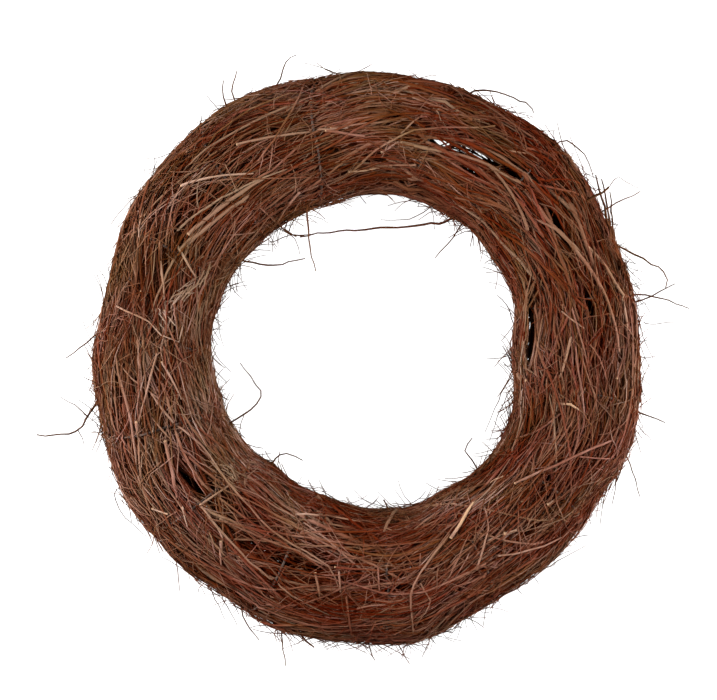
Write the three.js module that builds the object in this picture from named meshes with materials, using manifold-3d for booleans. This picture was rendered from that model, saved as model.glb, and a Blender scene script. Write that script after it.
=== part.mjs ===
// An elm branch wreath lying flat: handfuls of thin branches laid round a ring, bound with one spiral of wire.
// Millimetres and degrees, +Z up. The origin is the ring's centre, on the surface that the wreath lies on.
// Angles run anticlockwise from +X, seen from above. "Around" runs about the ring's section: 0 faces away from
// the hole, 90 up, 180 into the hole and 270 down. "Depth" is measured inwards from the outermost twigs.
import * as THREE from 'three';
import { mergeVertices } from 'three/addons/utils/BufferGeometryUtils.js';
import Module from 'manifold-3d';

const wasm = await Module();
wasm.setup();

// The ring's outline, every 15 degrees from +X: the edge of the hole and the outer edge.
const holeRadius = [
  90.3, 94.1, 97.5, 100.9, 100.6, 100.3, 100.9, 97.2, 96.6, 95.6, 96.3, 97.2,
  96.6, 92.5, 90.3, 87.8, 88.5, 87.8, 92.2, 94.7, 92.8, 96.9, 95.3, 92.8,
];
const outerRadius = [
  171.9, 172.3, 173.5, 178.8, 177.6, 178.2, 179.4, 179.4, 181.6, 176.6, 173.5, 168.5,
  171.9, 171.6, 174.4, 172.9, 173.5, 178.2, 177.6, 176.9, 171.6, 172.3, 170.7, 174.4,
];
const ringHeight = 68;
const pressedFlat = 1.2;
const sectionPower = 0.9;

// The wire crosses the ring's crest at these angles, going clockwise. Its ends lie side by side underneath.
const crests = [103, 74, 49, 15, -9, -35, -60, -84.5, -112, -139, -161, -184, -209, -232];
const wireDiameter = 1.2;
const wireDepth = 2;
const wireSteps = 14;
const wireEndLap = 12;
const wireEndsApart = 1.1;
const wireClearance = 0.3;

// The branches packed in a handful are ridges, which meet the next handful's ones at the seam between the two.
const seam = 0.1;
const ridgeCount = 18;
const ridgeDepth = 4;
const ridgeWander = 0.2;
const ridgeTwists = [-2, 1];
const ridgeStations = [0, 0.24, 0.5, 0.76, 1];
const packedDepth = [5, 6.8];
const seamDepth = 8;

// The branches that stand out of the ridges. Widths are drawn between two limits, and ends are sunk to a depth.
const sunkDepth = 9;
const pressedDepth = 3.6;
const taper = 0.35;
const lap = 4.6;
const lapClear = 1.3;
const laneCount = 8;
const laneWidth = [3.4, 4.6];
const laneDrift = 24;
const looseCount = 3;
const looseWidth = [2.6, 3.8];
const looseSlant = [18, 46];
const looseRise = -2;
const footEvery = 3;
const footWidth = 6;

const rad = THREE.MathUtils.degToRad;
const turnCount = crests.length;

// Draws numbers between two limits, the same ones on every run.
function seeded(seed) {
  let state = seed;
  return (low, high) => {
    state = (Math.imul(state, 1664525) + 1013904223) >>> 0;
    return THREE.MathUtils.lerp(low, high, state / 2 ** 32);
  };
}

// A value of the outline at any angle, on a smooth curve through its listed ones.
function onOutline(list, angle) {
  const step = 360 / list.length;
  const at = THREE.MathUtils.euclideanModulo(angle, 360) / step;
  const first = Math.floor(at);
  const t = at - first;
  const [a, b, c, d] = [-1, 0, 1, 2].map((k) => list[(first + k + list.length) % list.length]);
  const bend = (2 * a - 5 * b + 4 * c - d) * t * t + (3 * b - a - 3 * c + d) * t * t * t;
  return b + ((c - a) * t + bend) / 2;
}

function bulge(value) {
  return Math.sign(value) * Math.abs(value) ** sectionPower;
}

function place(angle, around, depth) {
  const hole = onOutline(holeRadius, angle);
  const outer = onOutline(outerRadius, angle);
  const halfHeight = (ringHeight + pressedFlat) / 2;
  const radius = (hole + outer) / 2 + ((outer - hole) / 2 - depth) * bulge(Math.cos(rad(around)));
  const z = halfHeight - pressedFlat + (halfHeight - depth) * bulge(Math.sin(rad(around)));
  return new THREE.Vector3(radius * Math.cos(rad(angle)), radius * Math.sin(rad(angle)), z);
}

function outward(angle, around) {
  const flat = Math.cos(rad(around));
  return new THREE.Vector3(flat * Math.cos(rad(angle)), flat * Math.sin(rad(angle)), Math.sin(rad(around)));
}

// The wire's angle round the ring after so many turns. It advances on the underside, hardly on the crest.
function wireAngle(turns) {
  const turn = Math.floor(turns);
  const t = turns - turn;
  const crest = (k) => crests[THREE.MathUtils.euclideanModulo(k, turnCount)] - 360 * Math.floor(k / turnCount);
  return THREE.MathUtils.lerp(crest(turn), crest(turn + 1), t * t * (3 - 2 * t));
}

// A closed solid through rings of points, each ring anticlockwise about the way ahead.
function loft(rings) {
  const sides = rings[0].length;
  const middle = (ring) => ring.reduce((sum, p) => sum.add(p), new THREE.Vector3()).divideScalar(sides);
  const points = [...rings.flat(), middle(rings[0]), middle(rings.at(-1))];
  const faces = [];
  const last = (rings.length - 1) * sides;
  for (let j = 0; j < sides; j++) {
    const next = (j + 1) % sides;
    for (let i = 0; i < last; i += sides) {
      faces.push(i + j, i + next, i + sides + next, i + j, i + sides + next, i + sides + j);
    }
    if (sides > 3) {
      faces.push(points.length - 2, next, j, points.length - 1, last + j, last + next);
    }
  }
  if (sides === 3) {
    points.length -= 2;
    faces.push(0, 2, 1, last, last + 1, last + 2);
  }
  const triangles = new Uint32Array(faces);
  const numbers = new Float32Array(points.flatMap((p) => p.toArray()));
  return new wasm.Manifold(new wasm.Mesh({ numProp: 3, vertProperties: numbers, triVerts: triangles }));
}

// A three-sided rod along points. An edge of it, or a face, turns to the upward direction given at each point.
function rod(points, ups, radii, faceUp = false) {
  const sides = 3;
  const rings = points.map((point, i) => {
    const before = points[Math.max(i - 1, 0)];
    const after = points[Math.min(i + 1, points.length - 1)];
    const ahead = after.clone().sub(before).normalize();
    const side = ahead.clone().cross(ups[i]).normalize();
    const up = side.clone().cross(ahead);
    return Array.from({ length: sides }, (_, j) => {
      const roll = ((j + (faceUp ? 0.5 : 0)) / sides) * 2 * Math.PI;
      return point.clone().addScaledVector(up, radii[i] * Math.cos(roll))
        .addScaledVector(side, radii[i] * Math.sin(roll));
    });
  });
  return loft(rings);
}

// The radius, out to the edges, of a three-sided rod as wide as given, thinner towards its tip.
function tapered(width, count, share) {
  return Array.from({ length: count }, (_, i) => (width / Math.sqrt(3)) * (1 - (share * i) / (count - 1)));
}

// Presses a branch down where the wire crosses it. A path's points are [angle, around, depth of its surface].
function pressUnderWire(path) {
  const nearPoint = 0.8;
  const pressed = [path[0].slice()];
  for (const to of path.slice(1)) {
    const from = pressed.at(-1);
    const next = to.slice();
    for (let turn = -1; turn <= turnCount + 1; turn++) {
      const [a, b] = [from, next].map(([angle, around]) => angle - wireAngle(turn + (90 - around) / 360));
      if (a * b > 0) {
        continue;
      }
      if (Math.abs(a) < nearPoint) {
        from[2] = Math.max(from[2], pressedDepth);
      } else if (Math.abs(b) < nearPoint) {
        next[2] = Math.max(next[2], pressedDepth);
      } else {
        const crossing = from.map((value, k) => THREE.MathUtils.lerp(value, next[k], a / (a - b)));
        crossing[2] = Math.max(crossing[2], pressedDepth);
        pressed.push(crossing);
      }
    }
    pressed.push(next);
  }
  return pressed;
}

function branch(path, width, faceUp) {
  const pressed = pressUnderWire(path);
  const radii = tapered(width, pressed.length, taper);
  const sunk = faceUp ? radii[0] / 2 : radii[0];
  const points = pressed.map(([angle, around, depth]) => place(angle, around, depth + sunk));
  const ups = pressed.map(([angle, around]) => outward(angle, around));
  return rod(points, ups, radii, faceUp);
}

function packedBranches(start, span, twist, random) {
  const pitch = 360 / ridgeCount;
  const rings = ridgeStations.map((share) => {
    const atSeam = share === 0 || share === 1;
    const angle = start - THREE.MathUtils.lerp(seam, span - seam, share);
    return Array.from({ length: ridgeCount }, (_, ridge) => {
      const around = (ridge + twist * share + (atSeam ? 0 : random(-ridgeWander, ridgeWander))) * pitch;
      const top = atSeam ? seamDepth : random(...packedDepth);
      return [place(angle, around, top), place(angle, around + pitch / 2, top + ridgeDepth)];
    }).flat();
  });
  return loft(rings);
}

// How far a branch may lap over the neighbour, going one way (1 clockwise) from a seam, before it meets the
// wire. Where the wire lies at the seam itself, the branch passes under it.
function lapFrom(seamAngle, around, way) {
  const atSeam = 1.5;
  let reach = lap;
  for (let turn = -2; turn <= turnCount + 1; turn++) {
    const wireAway = way * (seamAngle - wireAngle(turn + (90 - around) / 360));
    if (wireAway > atSeam) {
      reach = Math.min(reach, wireAway - lapClear);
    }
  }
  return reach;
}

// The branches that lap over a neighbour: even lanes at the start of the handful, odd ones at its end. Each row
// of a path is the way past the seam, the place around and the depth.
function lappingBranches(start, span, random) {
  return Array.from({ length: laneCount }, (_, lane) => {
    const around = (lane * 360) / laneCount + random(-5, 5);
    const way = lane % 2 ? 1 : -1;
    const from = way > 0 ? start - span : start;
    const drift = random(-laneDrift, laneDrift);
    const path = [
      [-random(0.6, 0.74) * span, around + drift, sunkDepth],
      [-random(0.36, 0.46) * span, around + drift / 2, random(-1.5, 0)],
      [0, around, random(0, 1)],
      [lapFrom(from, around, way), around - drift / 6, random(-1.6, 0)],
    ].map(([past, ...rest]) => [from - way * past, ...rest]);
    return branch(path, random(...laneWidth), random(0, 1) < 0.4);
  });
}

// Branches that cross the others on top, at a steeper slant, clear of where the neighbours lap over.
function looseBranches(start, span, random) {
  return Array.from({ length: looseCount }, (_, k) => {
    const around = (k * 360) / looseCount + random(15, 55);
    const slant = (random(0, 1) < 0.5 ? -1 : 1) * random(...looseSlant);
    const from = start - lap - lapClear;
    const to = start - span + lap + lapClear;
    const path = [[0, -1, sunkDepth], [0.3, -0.4, looseRise], [0.7, 0.4, looseRise], [1, 1, random(-3, 2)]]
      .map(([share, side, depth]) => [THREE.MathUtils.lerp(from, to, share), around + side * slant, depth]);
    return branch(path, random(...looseWidth), false);
  });
}

// The low branch that a handful rests on.
function foot(start, span) {
  const path = [[0.52, sunkDepth], [0.62, 0], [0.76, 0], [0.86, sunkDepth]]
    .map(([share, depth]) => [start - share * span, 270, depth]);
  return branch(path, footWidth, true);
}

// Loose ends that stand out of the ring: the thickness of each, and its points from the root outwards.
const strays = [
  // Outside, clockwise from the left
  [2, [-152, -16, 34], [-168.8, -29.3, 33], [-181.3, -46.1, 31], [-206, -48, 29]],
  [1.5, [-155, 24, 40], [-169, 12.5, 42], [-185.5, 0, 44]],
  [1.4, [-84, 146, 44], [-87.8, 160.7, 47], [-87.8, 171, 49]],
  [1.4, [-77, 152, 40], [-83, 165, 42], [-79.7, 178, 44]],
  [1.4, [-60.5, 157, 36], [-53.6, 174, 36], [-50, 184, 37], [-43, 188.5, 37]],
  [1.6, [56, 158, 36], [72, 166.5, 38], [99, 158, 39], [104, 152, 39]],
  [1.3, [112, 128, 46], [123, 134, 49], [134, 125, 50], [140, 111, 49]],
  [2.8, [122, 86, 52], [139.6, 99, 52], [149, 105, 53]],
  [1.4, [136, 84, 44], [150, 93, 46], [169, 102.8, 48]],
  [1.8, [138, 72, 36], [157, 69.5, 37], [185, 53.6, 38], [186, 43.6, 38]],
  [1.6, [150, 30, 42], [171, 36, 43], [191, 46, 44]],
  [1.4, [152, 40, 30], [180, 38.5, 28], [202.5, 31, 26]],
  [1.4, [158, -30, 40], [174, -35.5, 42], [185, -40, 43]],
  [1.3, [150, -45, 30], [163, -62, 30], [171, -86.6, 31]],
  [1.3, [12, -158, 38], [19, -177, 40], [27, -189.5, 41]],
  [1.3, [-4, -160, 30], [1, -177, 29], [5.6, -189.4, 28]],
  [2.4, [-48, -155, 40], [-41, -171, 42], [-32, -179, 43]],
  [1.4, [-50, -152, 34], [-52, -172, 34], [-50, -192, 35]],
  [1.4, [-80, -146, 44], [-74, -163, 45], [-66, -174, 46]],
  // Inside, clockwise from the top
  [1.5, [-36.5, 112, 48], [-35.5, 74, 47], [-31, 53.6, 45]],
  [2, [62, 96, 42], [48, 84.5, 41], [0, 80, 40], [-30, 77, 40], [-41, 75, 41]],
  [1.3, [64, 90, 34], [57, 79, 33], [43, 62.3, 32]],
  [1.4, [76, -82, 34], [69, -68.5, 34], [61.5, -57.3, 35], [66, -49.8, 36]],
  [1.8, [16, -108, 36], [15, -95.5, 36], [11, -88, 37]],
  [1.5, [-66, -80, 38], [-54, -60.5, 38], [-39.3, -63.5, 39]],
  [1.4, [-96, -44, 36], [-81.6, -38.6, 37], [-65, -24.3, 40], [-78, -3, 42]],
  [1.6, [-90, 68, 36], [-75, 60.5, 35], [-56.7, 57.9, 35], [-38, 62, 35]],
];

function strayEnd([width, ...corners]) {
  const points = corners.map((corner) => new THREE.Vector3(...corner));
  const ups = points.map(() => new THREE.Vector3(0, 0, 1));
  return rod(points, ups, tapered(width, points.length, taper));
}

function strayRoot([, [x, y]]) {
  return THREE.MathUtils.radToDeg(Math.atan2(y, x));
}

// Everything above the surface that the wreath lies on.
function aboveSurface() {
  const box = new THREE.BoxGeometry(600, 600, 200).translate(0, 0, 100);
  box.deleteAttribute('normal');
  box.deleteAttribute('uv');
  const { attributes, index } = mergeVertices(box);
  return new wasm.Manifold(new wasm.Mesh({
    numProp: 3,
    vertProperties: attributes.position.array,
    triVerts: index.array,
  }));
}

function wireRod(radius) {
  const lapped = wireEndLap / 360;
  const steps = turnCount * wireSteps;
  const points = [];
  const ups = [];
  for (let i = 0; i <= steps; i++) {
    const turns = THREE.MathUtils.lerp(-0.5 - lapped, turnCount - 0.5 + lapped, i / steps);
    const around = 90 - 360 * turns;
    const nearEnd = THREE.MathUtils.smoothstep(turns, turnCount - 1, turnCount - 0.5);
    const nearStart = THREE.MathUtils.smoothstep(-turns, 0, 0.5);
    const angle = wireAngle(turns) + wireEndsApart * (nearStart - nearEnd);
    points.push(place(angle, around, wireDepth));
    ups.push(outward(angle, around));
  }
  return rod(points, ups, points.map(() => radius));
}

// A handful of branches, all in one body: trimmed where the wire presses in and where it lies on the surface.
function handful(index, wireBed, trim) {
  const start = crests[index];
  const span = start - (index + 1 < turnCount ? crests[index + 1] : crests[0] - 360);
  const random = seeded(101 + 37 * index);
  const own = strays.filter((stray) => THREE.MathUtils.euclideanModulo(start - strayRoot(stray), 360) < span);
  const pieces = [
    packedBranches(start, span, ridgeTwists[index % ridgeTwists.length], random),
    ...lappingBranches(start, span, random),
    ...looseBranches(start, span, random),
    ...(index % footEvery ? [] : [foot(start, span)]),
    ...own.map(strayEnd),
  ];
  const fused = pieces.reduce((whole, piece) => whole.add(piece)).subtract(wireBed).intersect(trim);
  const bodies = fused.decompose().sort((a, b) => b.volume() - a.volume());
  return bodies[0];
}

function toMesh(name, solid, colour, roughness, metalness) {
  const { vertProperties, triVerts } = solid.getMesh();
  const geometry = new THREE.BufferGeometry();
  geometry.setAttribute('position', new THREE.BufferAttribute(vertProperties, 3));
  geometry.setIndex(new THREE.BufferAttribute(triVerts, 1));
  geometry.computeVertexNormals();
  const material = new THREE.MeshStandardMaterial({ color: colour, roughness, metalness });
  const mesh = new THREE.Mesh(geometry, material);
  mesh.name = name;
  return mesh;
}

const barkColours = [0x5f3c2d, 0x6a4432, 0x573628, 0x644537];
const wireColour = 0x3b3333;

// A three-sided rod's faces lie at half its radius.
const wireBed = wireRod(wireDiameter / 2 + 2 * wireClearance);
const trim = aboveSurface();

const group = new THREE.Group();
for (let index = 0; index < turnCount; index++) {
  const name = `twig_bundle_${String(index + 1).padStart(2, '0')}`;
  group.add(toMesh(name, handful(index, wireBed, trim), barkColours[index % barkColours.length], 0.9, 0));
}
group.add(toMesh('binding_wire', wireRod(wireDiameter / 2), wireColour, 0.6, 0.7));

export default group;
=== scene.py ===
# An elm branch wreath lying flat, seen from straight above: thin dried branches round a ring, bound with wire.
# The layout below works in millimetres and degrees, and the meshes get metres.
# A spot in the ring is (angle, around, depth): angle runs anticlockwise from +X, around runs about the ring's
# section (0 outwards, 90 up, 180 into the hole, 270 down), depth is measured inwards from the outermost twigs.
import math
from functools import partial

import bpy
import numpy as np
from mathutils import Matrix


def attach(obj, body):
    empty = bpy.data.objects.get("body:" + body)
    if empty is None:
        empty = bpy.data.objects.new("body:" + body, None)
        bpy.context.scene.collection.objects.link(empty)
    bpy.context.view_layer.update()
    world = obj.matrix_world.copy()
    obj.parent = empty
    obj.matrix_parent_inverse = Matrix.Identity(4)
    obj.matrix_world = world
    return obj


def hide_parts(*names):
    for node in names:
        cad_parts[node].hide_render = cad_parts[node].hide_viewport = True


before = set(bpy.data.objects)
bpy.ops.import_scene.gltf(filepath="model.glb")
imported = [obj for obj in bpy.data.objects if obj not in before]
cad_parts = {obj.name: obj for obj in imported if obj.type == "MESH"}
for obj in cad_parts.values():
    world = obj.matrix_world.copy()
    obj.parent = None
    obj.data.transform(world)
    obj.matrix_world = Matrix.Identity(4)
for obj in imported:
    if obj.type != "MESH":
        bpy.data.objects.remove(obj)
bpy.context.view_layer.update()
metre = 0.001  # one millimetre of the layout

ring = dict(
    # every 10 degrees, from +X anticlockwise
    holeRadius=[90.2, 92.8, 99.0, 100.4, 100.6, 103.6, 102.2, 104.0, 104.8, 103.8, 99.8, 98.4,
                97.8, 97.0, 97.9, 98.4, 97.8, 97.4, 96.2, 94.0, 94.3, 93.0, 91.7, 87.4,
                89.3, 88.5, 90.4, 93.6, 95.7, 96.8, 94.8, 97.2, 98.3, 98.2, 97.2, 93.4],
    outerRadius=[170.7, 170.8, 170.0, 171.0, 176.1, 178.8, 178.2, 177.9, 176.7, 177.5, 176.8, 178.4,
                 179.1, 177.1, 175.5, 173.5, 168.4, 166.7, 170.0, 169.7, 171.2, 175.0, 173.4, 174.7,
                 173.5, 177.5, 177.8, 178.2, 180.6, 174.0, 171.0, 170.8, 170.5, 170.1, 174.1, 173.3],
    height=68, pressedFlat=1.2, sectionPower=0.9,
    # every 30 degrees: how far the twigs on top slant inwards, how red they are, how much lighter or darker
    # they are painted (painted light and shade where the lamps fall, partly their own tone), how thick the
    # fine ones are
    lean=[2, -4, -9, -9, 3, -12, -4, 4, 5, -8, -10, 5],
    redness=[0.35, 0.35, 0.5, 0.15, 0.1, -0.1, -0.05, 0.05, 0.45, 0.5, 0.35, 0.5],
    paintedLightAndTone=[0.07, -0.1, -0.165, -0.07, -0.01, 0.04, 0.1, 0.14, 0.0, -0.12, 0.02, 0.04],
    coarseness=[1.12, 1.5, 1.48, 1.2, 1.0, 1.05, 0.95, 1.0, 0.9, 1.03, 1.03, 1.03],
)

wire = dict(
    crests=[103, 74, 49, 15, -9, -35, -60, -84.5, -112, -139, -161, -184, -209, -232],
    diameter=1.35, depth=2, clearance=0.15, stepsPerTurn=48, endLap=12, endsApart=1.1,
    waver=0.105, waverPitch=(17.3, 41.7),
    bare=[0, 10],  # the turns that few twigs hide on top, in a groove
    bareShare=0.6, bareReach=8, groove=1.3,
)

turnCount = len(wire["crests"])
wholeRing = (wire["crests"][0] - 360, wire["crests"][0])
wholeSection = (0, 360)
meanRadius = 133


def curve(a, b, c, d, t):  # a smooth way from b to c, where a comes before them and d after them
    bend = (2 * a - 5 * b + 4 * c - d) * t**2 + (3 * b - a - 3 * c + d) * t**3
    return b + ((c - a) * t + bend) / 2


def ringAt(name, angle):  # a smooth closed curve through values spaced evenly round the ring
    values = np.asarray(ring[name], float)
    at = np.mod(angle, 360) * len(values) / 360
    first = np.floor(at).astype(int)
    a, b, c, d = (values[(first + k) % len(values)] for k in (-1, 0, 1, 2))
    return curve(a, b, c, d, at - first)


def edgesAt(angle):
    return ringAt("holeRadius", angle), ringAt("outerRadius", angle)


def leanAt(angle, around):
    return ringAt("lean", angle) * max(0, math.sin(math.radians(around)))


def bulge(value):
    return np.sign(value) * np.abs(value) ** ring["sectionPower"]


def place(spots):
    angle, around, depth = np.asarray(spots, float).T
    hole, outer = edgesAt(angle)
    halfHeight = (ring["height"] + ring["pressedFlat"]) / 2
    out = (hole + outer) / 2 + ((outer - hole) / 2 - depth) * bulge(np.cos(np.radians(around)))
    z = halfHeight - ring["pressedFlat"] + (halfHeight - depth) * bulge(np.sin(np.radians(around)))
    return np.stack([out * np.cos(np.radians(angle)), out * np.sin(np.radians(angle)), z], 1)


def onTop(x, y, depth):  # the spot on the upper side that lies above or below a point seen from above
    angle = math.degrees(math.atan2(y, x))
    hole, outer = edgesAt(angle)
    share = (math.hypot(x, y) - (hole + outer) / 2) / ((outer - hole) / 2 - depth)
    share = max(-1, min(1, share))
    flat = math.copysign(abs(share) ** (1 / ring["sectionPower"]), share)
    return angle, math.degrees(math.acos(flat)), depth


def wireAngle(turns):  # it advances on the underside, and hardly on the crest
    turn = np.floor(turns).astype(int)
    t = turns - turn
    crests = np.asarray(wire["crests"], float)

    def crest(k):
        return crests[k % turnCount] - 360 * (k // turnCount)

    return crest(turn) + (crest(turn + 1) - crest(turn)) * t * t * (3 - 2 * t)


def assign(thing, **values):
    for name, value in values.items():
        setattr(thing, name, value)
    return thing


def addObject(name, data):
    thing = bpy.data.objects.new(name, data)
    bpy.context.scene.collection.objects.link(thing)
    return thing


# Node helpers, for geometry trees and materials alike

def setInputs(node, sockets):
    for key, value in sockets.items():
        if isinstance(value, bpy.types.NodeSocket):
            node.id_data.links.new(value, node.inputs[key])
        else:
            node.inputs[key].default_value = value


def addNode(tree, kind, sockets=None, **settings):
    node = assign(tree.nodes.new(kind), **settings)
    setInputs(node, sockets or {})
    return node


def addOut(tree, kind, sockets=None, **settings):  # adds a node for its first output
    return addNode(tree, kind, sockets, **settings).outputs[0]


def readNamed(tree, name, kind="FLOAT"):
    return addOut(tree, "GeometryNodeInputNamedAttribute", {"Name": name}, data_type=kind)


def calculate(tree, operation, *values):
    return addOut(tree, "ShaderNodeMath", dict(enumerate(values)), operation=operation)


def startMaterial(name):
    material = bpy.data.materials.new(name)
    material.use_nodes = True
    return material, material.node_tree, material.node_tree.nodes["Principled BSDF"]


# Paths become tubes: every path is a chain of edges, with its thickness and colouring on its points

tubes = dict(
    sides=[3, 4, 5, 8],  # by kind: hair, twig, branch, stout branch
    unevenWidth=0.12, knotSpacing=0.027, knotSize=1.22, knotLength=1.7, knotKind=2, seed=7,
)


def makeTubeTree():
    tree = bpy.data.node_groups.new("tubesAlongPaths", "GeometryNodeTree")
    addSocket = tree.interface.new_socket
    addSocket("Geometry", in_out="INPUT", socket_type="NodeSocketGeometry")
    addSocket("Geometry", in_out="OUTPUT", socket_type="NodeSocketGeometry")
    for label, kind, value in (
        ("Uneven Width", "Float", tubes["unevenWidth"]),
        ("Knot Spacing", "Float", tubes["knotSpacing"]),
        ("Knot Size", "Float", tubes["knotSize"]),
        ("Seed", "Int", tubes["seed"]),
    ):
        addSocket(label, in_out="INPUT", socket_type="NodeSocket" + kind).default_value = value
    addSocket("Bark", in_out="INPUT", socket_type="NodeSocketMaterial")
    given = tree.nodes.new("NodeGroupInput").outputs
    add, compute, read = (partial(helper, tree) for helper in (addOut, calculate, readNamed))

    curves = add("GeometryNodeMeshToCurve", {"Mesh": given["Geometry"]})
    kind = read("kind", "INT")
    uneven = addNode(tree, "FunctionNodeRandomValue", {
        2: compute("MULTIPLY", given["Uneven Width"], -1.0), 3: given["Uneven Width"], 8: given["Seed"],
    }, data_type="FLOAT").outputs[1]
    thick = read("thick")
    width = compute("MULTIPLY", thick, compute("ADD", uneven, 1.0))
    position = add("GeometryNodeInputPosition")
    joined = addNode(tree, "GeometryNodeJoinGeometry")
    for number, sides in enumerate(tubes["sides"]):
        isKind = add("FunctionNodeCompare", {2: kind, 3: number}, data_type="INT", operation="EQUAL")
        some = add("GeometryNodeSeparateGeometry", {"Geometry": curves, "Selection": isKind}, domain="CURVE")
        circle = add("GeometryNodeCurvePrimitiveCircle", {"Resolution": sides, "Radius": 1.0})
        rim = add("GeometryNodeStoreNamedAttribute", {"Geometry": circle, "Name": "rim", "Value": position},
                  data_type="FLOAT_VECTOR")
        setInputs(joined, {0: add("GeometryNodeCurveToMesh", {
            "Curve": some, "Profile Curve": rim, "Scale": width, "Fill Caps": True,
        })})
        if number < tubes["knotKind"]:
            continue
        points = addNode(tree, "GeometryNodeCurveToPoints", {
            "Curve": some, "Length": given["Knot Spacing"],
        }, mode="LENGTH").outputs
        across = compute("MULTIPLY", thick, given["Knot Size"])
        lengthwise = compute("MULTIPLY", across, tubes["knotLength"])
        sound = add("FunctionNodeCompare", {0: read("pale"), 1: 0.5}, data_type="FLOAT", operation="LESS_THAN")
        setInputs(joined, {0: add("GeometryNodeInstanceOnPoints", {
            "Points": points["Points"], "Rotation": points["Rotation"], "Selection": sound,
            "Instance": add("GeometryNodeMeshIcoSphere", {"Radius": 1.0, "Subdivisions": 1}),
            "Scale": add("ShaderNodeCombineXYZ", {0: across, 1: across, 2: lengthwise}),
        })})
    whole = add("GeometryNodeRealizeInstances", {"Geometry": joined.outputs[0]})
    rimAt = add("ShaderNodeVectorMath", {0: read("rim", "FLOAT_VECTOR"), "Scale": thick}, operation="SCALE")
    onward = add("ShaderNodeCombineXYZ", {0: read("barkShift"), 2: read("along")})
    marked = add("GeometryNodeStoreNamedAttribute", {
        "Geometry": whole, "Name": "barkAt",
        "Value": add("ShaderNodeVectorMath", {0: rimAt, 1: onward}, operation="ADD"),
    }, data_type="FLOAT_VECTOR")
    smooth = add("GeometryNodeSetShadeSmooth", {"Geometry": marked})
    finished = add("GeometryNodeSetMaterial", {"Geometry": smooth, "Material": given["Bark"]})
    addNode(tree, "NodeGroupOutput", {0: finished})
    return tree


def runTree(source, tree, values):
    modifier = source.modifiers.new("nodes", "NODES")
    modifier.node_group = tree
    for socket in tree.interface.items_tree:
        if socket.in_out == "INPUT" and socket.name in values:
            modifier[socket.identifier] = values[socket.name]
    bpy.context.view_layer.update()
    evaluated = source.evaluated_get(bpy.context.evaluated_depsgraph_get())
    mesh = bpy.data.meshes.new_from_object(evaluated)
    name = source.name
    bpy.data.objects.remove(source)
    mesh.name = name
    return addObject(name, mesh)


def pathsObject(name, points, chain, values):  # chain numbers the path that each point belongs to
    mesh = bpy.data.meshes.new(name)
    mesh.vertices.add(len(points))
    mesh.vertices.foreach_set("co", (points * metre).astype(np.float32).ravel())
    first = np.flatnonzero(chain[1:] == chain[:-1])
    mesh.edges.add(len(first))
    mesh.edges.foreach_set("vertices", np.stack([first, first + 1], 1).astype(np.int32).ravel())
    for label, column in values.items():
        kind, exact = ("INT", np.int32) if label == "kind" else ("FLOAT", np.float32)
        mesh.attributes.new(label, kind, "POINT").data.foreach_set("value", column.astype(exact))
    mesh.update()
    return addObject(name, mesh)


# Laying the twigs: each has its spots from root to tip, its radii and its colouring. A function that lays a
# layer takes the layer's settings as "its".

hair, twig, branch, stout = range(4)
rng = np.random.default_rng(41)
laid = []
plainTwig = dict(weathered=0.0, ruddy=0.0, pale=0.0, paleEnd=False, over=False, crosses=False, inSpace=False)


def keep(kind, spots, radius, tone, taper, **more):
    radii = radius * (1 - taper * np.linspace(0, 1, len(spots)) ** path["taperPower"])
    laid.append(dict(plainTwig, kind=kind, spots=spots, radii=radii, tone=tone, **more))


def draw(limits):
    return rng.uniform(*limits)


def drawLow(limits, power):  # more often near the first limit
    return limits[0] + (limits[1] - limits[0]) * rng.uniform() ** power


def drawEach(pairs):
    return [draw(limits) for limits in pairs]


def scatter(width, *count):
    return rng.normal(0, width, *count)


def chance(share):
    return rng.uniform() < share


def halfSpan(length):  # the degrees round the ring that half a length takes up
    return math.degrees(length / 2 / meanRadius)


def runningSum(steps):
    return np.concatenate([[0], np.cumsum(steps)])


path = dict(budTurn=(-0.2, 1), leastGirth=12.0, dipShare=0.22, taperPower=1.4)


def layPath(start, length, step, slant, wander, straight=0, sink=(0, 0), zigzag=0):
    # From a spot, a way that slants off the ring's by so many degrees. A straight one bows out at both ends.
    # It turns a little to and fro at every bud, and dips by what sink says at its root and tip.
    angle, around, depth = start
    count = max(2, round(length / step))
    s = np.linspace(0, length, count + 1)
    ds = length / count
    slants = slant + runningSum(scatter(wander, count - 1))
    toAndFro = 1 - 2 * (np.arange(count) % 2)
    slants += zigzag * rng.uniform(*path["budTurn"], count) * toAndFro * rng.choice([-1, 1])
    hole, outer = edgesAt(angle)
    half = (outer - hole) / 2
    radius = (hole + outer) / 2 + (half - depth) * math.cos(math.radians(around))
    girth = max(path["leastGirth"], (half + ring["height"] / 2) / 2 - depth)
    turnAbout = runningSum(np.sin(np.radians(slants)) * ds) / girth
    advance = runningSum(np.cos(np.radians(slants)) * ds) / radius
    fromMiddle = s - length / 2
    bow = straight * (fromMiddle**2 - (length / 2) ** 2) / (2 * radius * girth)
    arounds = around + np.degrees(turnAbout - bow * math.sin(math.radians(around)))
    share, dips = s / length, path["dipShare"]
    dip = sink[0] * np.clip(1 - share / dips, 0, 1) + sink[1] * np.clip((share - (1 - dips)) / dips, 0, 1)
    return np.stack([angle - np.degrees(advance), arounds, depth + dip], 1)


filling = dict(count=600, length=(90, 170), step=17, width=(1.8, 2.7), depth=(2.8, 11), slant=8, waver=0.8,
               tone=(0.1, 0.4))
heart = dict(count=800, length=(90, 170), step=15, width=(1.8, 3.0), depth=(9, 31), slant=11, waver=0.8,
             tone=(0.3, 0.6))


def layHeart(its, kind):
    for _ in range(its["count"]):
        length = draw(its["length"])
        depth = drawLow(its["depth"], power=1.3)
        start = (draw(wholeRing) + length / 5, draw(wholeSection), depth)
        spots = layPath(start, length, its["step"], scatter(its["slant"]), wander=1.5)
        spots[:, 2] += scatter(its["waver"], len(spots))
        keep(kind, spots, draw(its["width"]) / 2, draw(its["tone"]), taper=0.3)


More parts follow.
